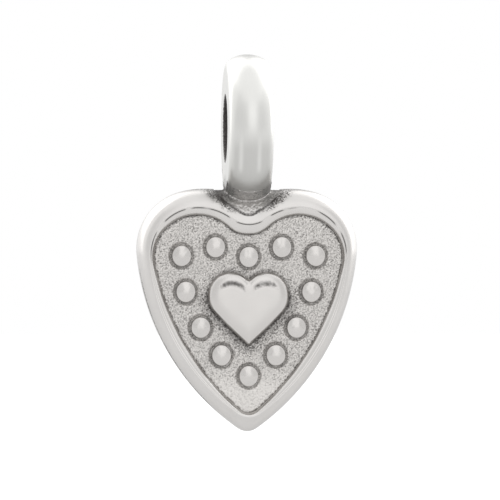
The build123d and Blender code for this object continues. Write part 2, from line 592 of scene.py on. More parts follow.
class Shell:
    """A mesh piece that grows by extruding closed rings of edges."""

    def __init__(self, name: str, bm: bmesh.types.BMesh | None = None) -> None:
        """Start a shell under a piece's name.

        Args:
            name: Name of the piece.
            bm: Mesh to start from, or None for an empty one.
        """
        self.name = name
        self.bm = bmesh.new() if bm is None else bm
        self.first: list[bmesh.types.BMVert] = []
        self.last: list[bmesh.types.BMVert] = []

    def loop_edges(self, verts: list[bmesh.types.BMVert]) -> list[bmesh.types.BMEdge]:
        """Edges that run round a closed ring of vertices."""
        return [self.bm.edges.get(pair) for pair in zip(verts, verts[1:] + verts[:1])]

    def ring(self, line: list[Vector], height: float) -> None:
        """Lay the next ring at a height, extruded from the last one.

        Args:
            line: Points of the ring, as x and z.
            height: How far forward the ring stands.
        """
        if not self.last:
            self.first = self.last = lay_ring(self.bm, line)
        else:
            fresh = extruded(self.bm, self.loop_edges(self.last))
            self.last = [
                next(e.other_vert(vert) for e in vert.link_edges if e.other_vert(vert) in fresh)
                for vert in self.last
            ]
        for vert, point in zip(self.last, line):
            vert.co = (point.x, -height, point.y)

    def close(self) -> None:
        """Join the last ring to the first, for a shell with a hole through it."""
        edges = self.loop_edges(self.first) + self.loop_edges(self.last)
        bmesh.ops.bridge_loops(self.bm, edges=edges)

    def cap(self) -> None:
        """Close the first and the last ring, each with a face of its own."""
        for verts in (self.first, self.last):
            bmesh.ops.triangle_fill(self.bm, use_beauty=True, edges=self.loop_edges(verts))

    def finish(self, slot: Slot, sharp: float) -> bpy.types.Object:
        """Turn the shell into a piece that rides on the charm.

        Args:
            slot: Material slot of the record; not used.
            sharp: Angle in degrees past which an edge shades sharp.

        Returns:
            The piece, in metres.
        """
        bmesh.ops.recalc_face_normals(self.bm, faces=self.bm.faces)
        for face in self.bm.faces:
            face.smooth = True
        piece = into_scene(self.bm, self.name)
        piece.data.set_sharp_from_angle(angle=radians(sharp))
        piece.data.transform(Matrix.Scale(MM, 4))
        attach(piece, BODY)
        return piece


# Finishes


def set_inputs(node: bpy.types.Node, values: dict[str, float | tuple[float, ...]]) -> None:
    """Write constant values on a node's own sockets.

    Args:
        node: Node to write on.
        values: Value of each named input.
    """
    for name, value in values.items():
        node.inputs[name].default_value = value


class EffectGroup:
    """A shader node group that is put together from noise and sums."""

    def __init__(self, name: str, takes: dict[str, Socket], gives: dict[str, Socket]) -> None:
        """Open the group with its sockets.

        Args:
            name: Name of the group.
            takes: Kind of each input.
            gives: Kind of each output.
        """
        self.tree = bpy.data.node_groups.new(name, "ShaderNodeTree")
        for way, sockets in (("INPUT", takes), ("OUTPUT", gives)):
            for socket, kind in sockets.items():
                self.tree.interface.new_socket(socket, in_out=way, socket_type=kind.value)
        self.start = self.tree.nodes.new("NodeGroupInput")
        self.end = self.tree.nodes.new("NodeGroupOutput")

    def put(self, value: bpy.types.NodeSocket | str | float, socket: bpy.types.NodeSocket) -> None:
        """Give a socket its value.

        Args:
            value: Socket to link, name of one of the group's inputs, or a number.
            socket: Socket that takes it.
        """
        if isinstance(value, str):
            value = self.start.outputs[value]
        if isinstance(value, bpy.types.NodeSocket):
            self.tree.links.new(value, socket)
        else:
            socket.default_value = value

    def sum(
        self,
        operation: str,
        first: bpy.types.NodeSocket | str | float,
        second: bpy.types.NodeSocket | str | float,
    ) -> bpy.types.NodeSocket:
        """Join two values by a sum.

        Args:
            operation: Name of the sum.
            first: First value, as put takes it.
            second: Second value, as put takes it.

        Returns:
            The socket of the result.
        """
        node = self.tree.nodes.new("ShaderNodeMath")
        node.operation = operation
        for value, socket in zip((first, second), node.inputs):
            self.put(value, socket)
        return node.outputs[0]

    def noise(self, place: bpy.types.NodeSocket | str, detail: float) -> bpy.types.NodeSocket:
        """Noise with grains as big as the group's Size input says.

        Args:
            place: Place to read it at, as put takes it.
            detail: Octaves of finer noise.

        Returns:
            The socket of the noise, from 0 to 1.
        """
        node = self.tree.nodes.new("ShaderNodeTexNoise")
        node.inputs["Detail"].default_value = detail
        self.put(place, node.inputs["Vector"])
        self.put(self.sum("DIVIDE", 1.0, "Size"), node.inputs["Scale"])
        return node.outputs["Fac"]


class SilverEffects:
    """The effect groups that every silver finish shares, each built once."""

    def __init__(self) -> None:
        """Build the groups."""
        self.clouds = self._clouds()
        self.speckle = self._speckle()
        self.scratches = self._scratches()
        self.tarnish_and_shade = self._tarnish_and_shade()

    @staticmethod
    def _clouds() -> EffectGroup:
        """Broad uneven shade, as hand polishing leaves.

        Returns:
            The group.
        """
        takes = {"Place": Socket.PLACE, "Size": Socket.NUMBER, "Depth": Socket.NUMBER}
        group = EffectGroup("silver_clouds", takes, {"Shade": Socket.NUMBER})
        centred = group.sum("SUBTRACT", group.noise("Place", 2.0), 0.5)
        doubled = group.sum("MULTIPLY", centred, 2.0)
        swing = group.sum("MULTIPLY", doubled, "Depth")
        group.put(group.sum("ADD", swing, 1.0), group.end.inputs["Shade"])
        return group

    @staticmethod
    def _speckle() -> EffectGroup:
        """Patina that breaks up into specks of a given size.

        A mask under the start stays smooth, and one near 1 stays whole.

        Returns:
            The group.
        """
        takes = {"Place": Socket.PLACE}
        takes |= {name: Socket.NUMBER for name in ("Mask", "Size", "Share", "Start")}
        group = EffectGroup("patina_speckle", takes, {"Mask": Socket.NUMBER})
        contrast, rise, fall = 4.0, 4.0, 2.2
        centred = group.sum("SUBTRACT", group.noise("Place", 1.0), 0.5)
        swing = group.sum("MULTIPLY", centred, contrast)
        scaled = group.sum("MULTIPLY", swing, "Share")
        above = group.sum("MAXIMUM", group.sum("SUBTRACT", "Mask", "Start"), 0.0)
        begun = group.sum("MINIMUM", group.sum("MULTIPLY", above, rise), 1.0)
        bare = group.sum("SUBTRACT", 1.0, "Mask")
        loose = group.sum("MINIMUM", group.sum("MULTIPLY", bare, fall), 1.0)
        gated = group.sum("MULTIPLY", scaled, group.sum("MULTIPLY", begun, loose))
        above_none = group.sum("MAXIMUM", group.sum("ADD", gated, "Mask"), 0.0)
        group.put(group.sum("MINIMUM", above_none, 1.0), group.end.inputs["Mask"])
        return group

    @staticmethod
    def _scratches() -> EffectGroup:
        """Faint height of polishing marks, long in one direction.

        Returns:
            The group.
        """
        takes = {"Place": Socket.PLACE, "Size": Socket.NUMBER}
        group = EffectGroup("polish_marks", takes, {"Height": Socket.NUMBER})
        stretch = group.tree.nodes.new("ShaderNodeMapping")
        turn = (0.0, radians(20.0), 0.0)
        set_inputs(stretch, {"Rotation": turn, "Scale": (1.0, 1.0, 0.22)})
        group.put("Place", stretch.inputs["Vector"])
        group.put(group.noise(stretch.outputs["Vector"], 3.0), group.end.inputs["Height"])
        return group

    @staticmethod
    def _tarnish_and_shade() -> EffectGroup:
        """Bright silver that gives way to dark patina and to painted shade.

        Returns:
            The group.
        """
        numbers = ("Mask", "Shade", "Silver Roughness", "Dark Roughness")
        takes = {name: Socket.NUMBER for name in numbers}
        takes |= {name: Socket.COLOUR for name in ("Silver", "Dark")}
        gives = {"Color": Socket.COLOUR, "Roughness": Socket.NUMBER, "Metallic": Socket.NUMBER}
        group = EffectGroup("silver_tarnish_and_shade", takes, gives)
        shaded = group.tree.nodes.new("ShaderNodeVectorMath")
        shaded.operation = "SCALE"
        group.put("Silver", shaded.inputs[0])
        group.put("Shade", shaded.inputs["Scale"])
        colour = group.tree.nodes.new("ShaderNodeMix")
        colour.data_type = "RGBA"
        for value, socket in (("Mask", 0), (shaded.outputs[0], 6), ("Dark", 7)):
            group.put(value, colour.inputs[socket])
        group.put(colour.outputs[2], group.end.inputs["Color"])
        rough = group.tree.nodes.new("ShaderNodeMix")
        for value, socket in (("Mask", 0), ("Silver Roughness", 2), ("Dark Roughness", 3)):
            group.put(value, rough.inputs[socket])
        group.put(rough.outputs[0], group.end.inputs["Roughness"])
        group.put(group.sum("SUBTRACT", 1.0, "Mask"), group.end.inputs["Metallic"])
        return group


@dataclass(frozen=True)
class Silver:
    """Cast silver with darkened hollows, as one material."""

    name: str
    colour: tuple[float, float, float] = (0.590, 0.575, 0.560)
    dark: tuple[float, float, float] = (0.085, 0.078, 0.074)
    roughness: float = 0.24
    dark_roughness: float = 0.55
    specular: float = 0.2
    edge_tint: float = 0.72
    cloud_size: float = 1.6
    cloud_depth: float = 0.05
    scratch_size: float = 0.10
    scratch_depth: float = 0.0015
    speckle_size: float = 0.13
    speckle_share: float = 0.0
    speckle_start: float = 0.0

    def make(self, effects: SilverEffects) -> bpy.types.Material:
        """Build the material from the shared effects.

        Args:
            effects: Effect groups that every silver finish shares.

        Returns:
            The material.
        """
        material = bpy.data.materials.new(self.name)
        material.use_nodes = True
        tree = material.node_tree
        shader = tree.nodes["Principled BSDF"]
        tint = (self.edge_tint, self.edge_tint, self.edge_tint, 1.0)
        set_inputs(shader, {"Specular IOR Level": self.specular, "Specular Tint": tint})
        coords = tree.nodes.new("ShaderNodeTexCoord")
        patina_and_shade_layer = tree.nodes.new("ShaderNodeAttribute")
        patina_and_shade_layer.attribute_name = PATINA_AND_SHADE
        values = {
            effects.clouds: {"Size": self.cloud_size * MM, "Depth": self.cloud_depth},
            effects.speckle: {
                "Size": self.speckle_size * MM,
                "Share": self.speckle_share,
                "Start": self.speckle_start,
            },
            effects.scratches: {"Size": self.scratch_size * MM},
            effects.tarnish_and_shade: {
                "Silver": (*self.colour, 1.0),
                "Dark": (*self.dark, 1.0),
                "Silver Roughness": self.roughness,
                "Dark Roughness": self.dark_roughness,
            },
        }
        placed = {group: tree.nodes.new("ShaderNodeGroup") for group in values}
        for group, node in placed.items():
            node.node_tree = group.tree
            set_inputs(node, values[group])
        clouds, specks, scratches, mixer = placed.values()
        bump = tree.nodes.new("ShaderNodeBump")
        set_inputs(bump, {"Distance": self.scratch_depth * MM, "Strength": 1.0})
        links = [(coords, "Object", node, "Place") for node in (clouds, specks, scratches)]
        links += [
            (patina_and_shade_layer, "Fac", specks, "Mask"),
            (specks, "Mask", mixer, "Mask"),
            (clouds, "Shade", mixer, "Shade"),
            (mixer, "Color", shader, "Base Color"),
            (mixer, "Metallic", shader, "Metallic"),
            (mixer, "Roughness", shader, "Roughness"),
            (scratches, "Height", bump, "Height"),
            (bump, "Normal", shader, "Normal"),
        ]
        for giver, given, taker, taken in links:
            tree.links.new(giver.outputs[given], taker.inputs[taken])
        return material


# Sub-assemblies


@dataclass
class SubAssembly:
    """Some of the charm's pieces, which are built and dressed together."""

    sizes: CharmSizes

    def sets(self) -> Iterator[tuple[Silver, list[bpy.types.Object]]]:
        """Build the pieces, set by set, each set with its finish."""
        raise NotImplementedError

    def make(self, effects: SilverEffects) -> list[bpy.types.Object]:
        """Build the pieces and dress each set of them in its finish.

        Args:
            effects: Effect groups that every silver finish shares.

        Returns:
            The pieces, dressed.
        """
        made = []
        for finish, pieces in self.sets():
            material = finish.make(effects)
            for piece in pieces:
                piece.data.materials.clear()
                piece.data.materials.append(material)
            made += pieces
        return made


@dataclass
class BailRing(SubAssembly):
    """The ring that a cord or a jump ring passes through."""

    corner: float = 0.58
    bore_edge: float = 0.12
    side_steps: int = 5
    corner_steps: int = 9
    crown_steps: int = 14
    steps: int = 176
    unworn: float = 0.4
    wear: float = 0.011
    ripple: float = 0.003
    finish: Silver = Silver(
        "bail_polished_silver",
        colour=(0.619, 0.617, 0.600),
        roughness=0.31,
        speckle_share=0.9,
        speckle_start=0.16,
        speckle_size=0.08,
    )

    def sets(self) -> Iterator[tuple[Silver, list[bpy.types.Object]]]:
        """The ring in its finish."""
        yield self.finish, [self.build()]

    def section(self) -> list[Vector]:
        """D shaped section, run round from the bore.

        Returns:
            The points, as place across and radius.
        """
        half = self.sizes.ring_width / 2
        crown = self.sizes.ring_crown
        outer = self.sizes.outer_radius
        edge = self.bore_edge
        brink = self.sizes.bore_radius + edge
        inner_crown = crown - self.corner
        reach = half - self.corner
        turn = acos(reach / inner_crown)
        right = [Vector((half - edge, self.sizes.bore_radius))]
        for angle in (20.0, 45.0, 70.0):
            spoke = Vector((sin(radians(angle)), -cos(radians(angle))))
            right.append(Vector((half - edge, brink)) + spoke * edge)
        centre = Vector((reach, outer - crown + inner_crown * sin(turn)))
        for step in range(self.side_steps):
            right.append(Vector((half, brink + (centre.y - brink) * step / self.side_steps)))
        for step in range(self.corner_steps):
            angle = turn * step / self.corner_steps
            right.append(centre + Vector((cos(angle), sin(angle))) * self.corner)
        for step in range(self.crown_steps):
            angle = turn + (pi / 2 - turn) * step / self.crown_steps
            right.append(Vector((0.0, outer - crown)) + Vector((cos(angle), sin(angle))) * crown)
        return right + [Vector((0.0, outer))] + mirrored(right)

    def build(self) -> bpy.types.Object:
        """Spin the section round the hole's axis and wear its outside a little.

        Returns:
            The ring.
        """
        shell = Shell("bail_ring_polished")
        bm = shell.bm
        lay_ring(bm, self.section())
        spin_round(bm, bm.verts[:] + bm.edges[:], (1.0, 0.0, 0.0), self.steps)
        for vert in bm.verts:
            radius = sqrt(vert.co.y**2 + vert.co.z**2)
            dip = self.wear + self.ripple * grain(vert.co, 1.1, 3.0)
            if radius > self.sizes.bore_radius + self.unworn:
                share = 1.0 - dip / radius
                vert.co.y *= share
                vert.co.z *= share
        stain_and_shade(bm, self.patina)
        piece = shell.finish(Slot.RING, sharp=60.0)
        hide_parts("bail_ring")
        return piece

    def patina(self, place: Vector) -> float:
        """Share of patina in the bore and at the foot, a painted shadow at the ring's root, and
        painted shade over the lower front with two painted highlight streaks.

        Args:
            place: A vertex's place.

        Returns:
            The share.
        """
        across = abs(place.x)
        radius = sqrt(place.y**2 + place.z**2)
        bore_radius = self.sizes.bore_radius
        bore = 1.0 - smooth_step(bore_radius + 0.02, bore_radius + 0.14, radius)
        foot = smooth_step(-2.45, -3.3, place.z + 0.25 * grain(place, 0.35, 4.0))
        side = smooth_step(0.95, 1.18, across)
        lean = 0.85 if place.x < 0 else 0.45
        rear = 0.35 + 0.65 * smooth_step(-1.2, 0.8, place.y)
        # Where the ring goes into the seat, patina and a painted shadow line darken its root.
        collar = -3.38 + 0.22 * (place.x / 1.2) ** 2
        root = 0.35 * smooth_step(collar, collar - 0.20, place.z)
        # Painted shade darkens the ring's lower front, and two narrow streaks are left out of it
        # as painted highlights.
        painted_highlight_streaks = hump(abs(place.x + 0.09), 0.49, 0.19) * smooth_step(-2.6, -2.2, place.z)
        band = smooth_step(1.15, 0.85, across) * smooth_step(0.5, -0.5, place.y)
        painted_shade_low_front = 0.14 * smooth_step(-0.3, -1.4, place.z) * (1.0 - painted_highlight_streaks) * band
        fin = 0.9 * smooth_step(1.9, 2.5, place.y) * smooth_step(-1.9, -2.4, place.z)
        fin *= smooth_step(-0.8, -1.1, place.x)
        return max(0.95 * bore, foot * side * lean * rear, root, painted_shade_low_front, fin)


def notch_prism(sizes: CharmSizes, grow: float) -> bpy.types.Object:
    """Prism of the round tipped V that the seat fills.

    Args:
        sizes: Sizes of the charm.
        grow: How far the prism is wider and deeper than the V seen from the front.

    Returns:
        The prism, to be removed after its cuts.
    """
    half = sizes.seat_half + grow
    depth, above = 3.0, 1.0
    tip = sizes.seat_tip - grow
    rise = sizes.lobe_top - sizes.seat_shoulder - tip
    edge_shares = (
        (0.07, 0.004), (0.16, 0.03), (0.30, 0.12), (0.46, 0.25), (0.62, 0.41), (0.76, 0.58),
        (0.88, 0.78), (1.0, 1.0),
    )
    line = [Vector((half * across, tip + rise * up)) for across, up in edge_shares]
    line.append(Vector((half, sizes.lobe_top + above)))
    line += mirrored(line)
    shell = Shell("notch_prism")
    shell.ring(line, -depth)
    shell.ring(line, depth)
    shell.cap()
    bmesh.ops.recalc_face_normals(shell.bm, faces=shell.bm.faces)
    return into_scene(shell.bm, shell.name)


@dataclass
class BailSeat(SubAssembly):
    """Pitted fillet of metal that fills the notch under the ring."""

    overlap: float = 0.12
    grain_size: float = 0.12
    pit_depth: float = 0.035
    voxel: float = 0.035
    dip: float = 0.13
    fillet: float = 0.30
    lap: float = 0.02
    sink: float = 0.05
    slope_steps: int = 18
    fillet_steps: int = 8
    flare_front: float = 0.15
    flare_back: float = -0.75
    sleeve_inside: float = 3.2
    sleeve_depth: float = 0.62
    sleeve_bulge: float = 1.05
    sleeve_crown: float = 0.95
    sleeve_turn: float = 31.0
    sleeve_steps: int = 24
    finish: Silver = Silver(
        "seat_pitted_silver",
        roughness=0.36,
        speckle_share=0.40,
        speckle_size=0.07,
        scratch_size=0.05,
        scratch_depth=0.004,
    )

    def sets(self) -> Iterator[tuple[Silver, list[bpy.types.Object]]]:
        """The seat in its finish, trimmed by a prism that then goes.

        Returns:
            The finish with the seat.
        """
        prism = notch_prism(self.sizes, self.overlap)
        yield self.finish, [self.build(prism)]
        bpy.data.objects.remove(prism)

    def filled_heart(self) -> bmesh.types.BMesh:
        """The heart with its notch filled in, which rounds the seat's front.

        Returns:
            The closed mesh.
        """
        sizes = self.sizes
        crest = sizes.crest_line
        filled = replace(sizes.wall, notch=sizes.lobe_top - self.dip)
        shell = Shell("filled_heart")
        shell.ring(filled.points(), sizes.back)
        rise = sizes.crest - sizes.seat_drop - sizes.slope_foot
        for step in range(self.slope_steps + 1):
            angle = pi / 2 * step / self.slope_steps
            outline = filled.blend(crest, 1 - cos(angle))
            shell.ring(outline.points(), sizes.slope_foot + rise * sin(angle))
        shell.cap()
        return shell.bm

    def flare(self) -> bmesh.types.BMesh:
        """Block with hollow shoulders that runs up the ring's two sides.

        Returns:
            The closed mesh.
        """
        neck = self.sizes.ring_width / 2
        foot = self.sizes.lobe_top - self.dip
        line = [Vector((neck + self.fillet, foot - 2 * self.dip))]
        for step in range(self.fillet_steps + 1):
            angle = pi / 2 * step / self.fillet_steps
            across = neck + self.fillet * (1 - sin(angle))
            line.append(Vector((across, foot + self.fillet * (1 - cos(angle)))))
        shell = Shell("flare")
        line += mirrored(line)
        shell.ring(line, self.flare_back)
        shell.ring(line, self.flare_front)
        shell.cap()
        return shell.bm

    def sleeve(self) -> bmesh.types.BMesh:
        """Thin cup of metal that laps the ring's foot.

        Returns:
            The closed mesh.
        """
        half = self.sizes.ring_width / 2 + self.lap
        outer = self.sizes.outer_radius + self.lap
        crown = self.sleeve_crown
        arc_start, arc_turn, arc_steps = 25.0, 130.0, 10
        line = [Vector((side * half, -self.sleeve_inside)) for side in (-1, 1)]
        line.append(Vector((half, self.sleeve_depth - outer)))
        for step in range(1, arc_steps):
            angle = radians(arc_start + arc_turn * step / arc_steps)
            radius = outer - crown + crown * sin(angle)
            line.append(Vector((half * self.sleeve_bulge * cos(angle), -radius)))
        line.append(Vector((-half, self.sleeve_depth - outer)))
        bm = bmesh.new()
        lay_ring(bm, line)
        start = Matrix.Rotation(radians(-self.sleeve_turn), 3, "X")
        bmesh.ops.rotate(bm, verts=bm.verts, cent=ORIGIN, matrix=start)
        first = bm.edges[:]
        spun = bmesh.ops.spin(
            bm,
            geom=bm.verts[:] + first,
            cent=ORIGIN,
            axis=(1.0, 0.0, 0.0),
            angle=radians(2 * self.sleeve_turn),
            steps=self.sleeve_steps,
            use_merge=False,
            use_duplicate=False,
        )
        last = [item for item in spun["geom_last"] if isinstance(item, bmesh.types.BMEdge)]
        bmesh.ops.triangle_fill(bm, use_beauty=True, edges=first)
        bmesh.ops.triangle_fill(bm, use_beauty=True, edges=last)
        bmesh.ops.recalc_face_normals(bm, faces=bm.faces)
        return bm

    def build(self, prism: bpy.types.Object) -> bpy.types.Object:
        """Trim the filled heart to the V, add the flare and the lap, then round and pit it.

        Args:
            prism: Prism of the V.

        Returns:
            The seat.
        """
        joined = trim(self.filled_heart(), prism, Keep.INSIDE)
        for part in (self.flare(), self.sleeve()):
            bmesh.ops.recalc_face_normals(part, faces=part.faces)
            mesh = bpy.data.meshes.new("seat_part")
            part.to_mesh(mesh)
            part.free()
            joined.from_mesh(mesh)
        rough = into_scene(joined, "seat_rough")
        remesh = rough.modifiers.new("voxels", "REMESH")
        remesh.mode = "VOXEL"
        remesh.voxel_size = self.voxel
        fair = rough.modifiers.new("fair", "SMOOTH")
        fair.factor = 0.5
        fair.iterations = 6
        shell = Shell("bail_seat_pitted", out_of_scene(rough))
        press_in(shell.bm, self.pit_depth, self.pit)
        for vert in shell.bm.verts:
            outer = smooth_step(1.35, 2.0, abs(vert.co.x))
            vert.co.z -= self.sink * outer * smooth_step(-3.85, -3.45, vert.co.z)
        stain_and_shade(shell.bm, self.patina)
        piece = shell.finish(Slot.SEAT, sharp=180.0)
        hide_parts("bail_seat")
        return piece

    def pit(self, place: Vector) -> float:
        """Depth of the pitting at a place, from 0 to 1."""
        broad = mottle(place, 3 * self.grain_size, 5.0)
        return mottle(place, self.grain_size, 11.0) * (0.5 + 0.5 * broad)

    def patina(self, place: Vector) -> float:
        """Share of patina: darkest along the V and at the upper corners.

        Args:
            place: A vertex's place.

        Returns:
            The share.
        """
        across = abs(place.x)
        corner = hump(across, 1.60, 0.80) * smooth_step(-4.35, -3.70, place.z)
        corner *= 1.0 if place.x < 0 else 0.7
        line = hump(place.z, self.sizes.seat_edge(across) + 0.05, 0.15)
        line *= smooth_step(1.9, 1.5, across)
        pits = smooth_step(0.45, 0.9, self.pit(place))
        flare = smooth_step(-3.50, -3.30, place.z)
        clear = sqrt(place.y**2 + place.z**2) - self.sizes.outer_radius
        lip = smooth_step(0.24, 0.03, clear) * smooth_step(1.6, 1.2, across)
        return 0.05 + 0.80 * corner + 0.70 * line + 0.22 * pits + 0.35 * flare + 0.10 * lip


@dataclass
class HeartBody(SubAssembly):
    """The cast heart: back plate, rounded border and bezel."""

    border_steps: int = 22
    streak_depth: float = 0.007
    streak_step: float = 0.9
    streak_run: float = 0.22
    corner_pit_size: float = 0.12
    corner_pit_depth: float = 0.03
    back_edge: float = 0.2
    back_middle: float = -9.0
    back_dip: float = 0.02
    front_inset: float = 0.02
    front_share: float = 0.6
    face_margin: float = 0.01
    edge_steps: int = 6
    face_steps: int = 25
    finish_back: Silver = Silver("back_silver", roughness=0.30, cloud_depth=0.08)
    finish_border: Silver = Silver(
        "border_silver",
        colour=(0.566, 0.552, 0.538),
        roughness=0.30,
        speckle_share=1.0,
        speckle_size=0.07,
    )
    finish_bezel: Silver = Silver("bezel_silver", roughness=0.24)

    def __post_init__(self) -> None:
        """Keep the crest line for the many readings of it."""
        self.crest_table = OutlineTable(self.sizes.crest_line.points())

    def sets(self) -> Iterator[tuple[Silver, list[bpy.types.Object]]]:
        """The three pieces, each in its finish.

        Returns:
            Each finish with its piece, from the back forwards.
        """
        pocket = notch_prism(self.sizes, 0.0)
        yield self.finish_back, [self.build_back(pocket)]
        yield self.finish_border, [self.build_border(pocket)]
        bpy.data.objects.remove(pocket)
        yield self.finish_bezel, [self.build_bezel()]

    def build_border(self, cutter: bpy.types.Object) -> bpy.types.Object:
        """Rounded border, lofted from the side wall up to the crest line.

        Args:
            cutter: Prism that cuts the seat's place out.

        Returns:
            The border.
        """
        sizes = self.sizes
        wall, crest = sizes.wall, sizes.crest_line
        shell = Shell("outer_border_polished")
        shell.ring(crest.points(), sizes.plate_front)
        shell.ring(wall.points(), sizes.plate_front)
        rise = sizes.crest - sizes.slope_foot
        for step in range(self.border_steps + 1):
            angle = pi / 2 * step / self.border_steps
            outline = wall.blend(crest, 1 - cos(angle))
            shell.ring(outline.points(), sizes.slope_foot + rise * sin(angle))
            if 0 < step < self.border_steps:
                for vert in shell.last:
                    x, z = self.streak_run * vert.co.x, self.streak_run * vert.co.z
                    run = Vector((self.streak_step * step, x, z))
                    vert.co.y += self.streak_depth * (1.0 + grain(run, 1.0, 6.0))
        shell.close()
        press_in(
            shell.bm,
            self.corner_pit_depth,
            lambda place: mottle(place, self.corner_pit_size, 11.0) * self.corner(place),
        )
        shell.bm = trim(shell.bm, cutter, Keep.OUTSIDE)
        stain_and_shade(shell.bm, self.border_patina)
        piece = shell.finish(Slot.BORDER, sharp=40.0)
        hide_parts("outer_border")
        return piece

    def corner(self, place: Vector) -> float:
        """How near a place is to the seat's upper corners.

        Args:
            place: A vertex's place.

        Returns:
            The nearness, from 0 to 1.
        """
        below = self.sizes.seat_edge(place.x) - place.z
        near = smooth_step(0.48, 0.0, below + 0.12 * grain(place, 0.3, 5.0))
        return near * smooth_step(2.9, 1.3, abs(place.x)) * smooth_step(-4.7, -4.0, place.z)

    def border_patina(self, place: Vector) -> float:
        """Share of patina as specks round the seat's corners, and a painted shadow line on the
        side wall.

        Args:
            place: A vertex's place.

        Returns:
            The share.
        """
        corner = self.corner(place) * (1.0 if place.x < 0 else 0.75)
        # The side wall is darkened near the top and, on the left only, low down: a painted shadow
        # line.
        wall = smooth_step(-0.56, -0.26, place.y)
        top = smooth_step(-4.6, -4.0, place.z) * smooth_step(3.9, 2.6, abs(place.x))
        low = smooth_step(-7.0, -9.0, place.z) * smooth_step(-15.9, -14.5, place.z)
        low *= 1.0 if place.x < 0 else 0.0
        uneven = 0.85 + 0.15 * grain(place, 0.9, 35.0)
        return max(corner, wall * uneven * max(0.6 * top, 0.85 * low))

    def build_bezel(self) -> bpy.types.Object:
        """Band that rolls over the crest and falls to the field.

        Returns:
            The bezel.
        """
        sizes = self.sizes
        crest, inner = sizes.crest_line, sizes.field_line
        shell = Shell("inner_bezel_polished")
        shell.ring(inner.points(), sizes.plate_front)
        shell.ring(crest.points(), sizes.plate_front)
        drop = sizes.crest - sizes.bezel_lip
        profile_shares = (
            (0.0, 0.0), (0.05, 0.005), (0.09, 0.02), (0.13, 0.06), (0.17, 0.085), (0.21, 0.09),
            (0.27, 0.10), (0.36, 0.15), (0.46, 0.23), (0.56, 0.33), (0.66, 0.45), (0.75, 0.58),
            (0.83, 0.71), (0.90, 0.85), (0.96, 1.00), (1.0, 1.16),
        )
        for across, down in profile_shares:
            shell.ring(crest.blend(inner, across).points(), sizes.crest - drop * down)
        shell.close()
        stain_and_shade(shell.bm, self.bezel_patina)
        piece = shell.finish(Slot.BEZEL, sharp=60.0)
        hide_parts("inner_bezel")
        return piece

    def bezel_patina(self, place: Vector) -> float:
        """Share of patina on the bezel: along its foot, and dashes inside the crest.

        Args:
            place: A vertex's place.

        Returns:
            The share.
        """
        uneven = mottle(place, 0.45, 14.0)
        foot = smooth_step(1.14, 1.08, -place.y) * (0.03 * uneven + 0.18 * upper_part(place.z))
        inward = self.crest_table.distance(place)
        high = smooth_step(-7.6, -6.2, place.z)
        dash = smooth_step(-0.35, 0.15, grain(place, 0.7, 21.0)) * high
        return max(foot, 0.9 * dash * hump(inward, 0.085, 0.05))

    def build_back(self, cutter: bpy.types.Object) -> bpy.types.Object:
        """Back plate with a softened rim and a face drawn in to its middle.

        Args:
            cutter: Prism that cuts the seat's place out.

        Returns:
            The back plate.
        """
        sizes = self.sizes
        wall, edge, middle = sizes.wall, self.back_edge, self.back_middle
        shell = Shell("back_plate_tumbled")
        front = wall.inset(self.front_inset).shrink(self.front_share, middle)
        shell.ring(front.points(), sizes.plate_front)
        rise = sizes.plate_front - sizes.back - edge
        for step in range(self.edge_steps + 1):
            shell.ring(wall.points(), sizes.plate_front - rise * step / self.edge_steps)
        for step in range(1, self.edge_steps + 1):
            angle = pi / 2 * step / self.edge_steps
            line = wall.inset(edge * (1 - cos(angle))).points()
            shell.ring(line, sizes.back + edge * (1 - sin(angle)))
        for step in range(1, self.face_steps):
            line = wall.inset(edge).shrink(1 - step / self.face_steps, middle).points()
            shell.ring(line, sizes.back)
        shell.cap()
        for vert in shell.bm.verts:
            if vert.co.y > -sizes.back - self.face_margin:
                vert.co.y -= self.back_dip * mottle(vert.co, 1.9, 7.0)
        shell.bm = trim(shell.bm, cutter, Keep.OUTSIDE)
        stain_and_shade(shell.bm, self.back_patina)
        piece = shell.finish(Slot.BACK, sharp=50.0)
        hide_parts("back_plate")
        return piece

    def back_patina(self, place: Vector) -> float:
        """Share of patina on the back: faint clouds, and the notch's corners."""
        clouds = 0.10 + 0.05 * grain(place, 1.1, 9.0)
        return clouds + 0.3 * self.corner(place)


@dataclass(frozen=True)
class FloorSpot:
    """What shapes the field's floor at one place, as shares from 0 to 1."""

    place: Vector
    to_heart: float
    moat: float
    collar: float
    groove: float
    stipple: float


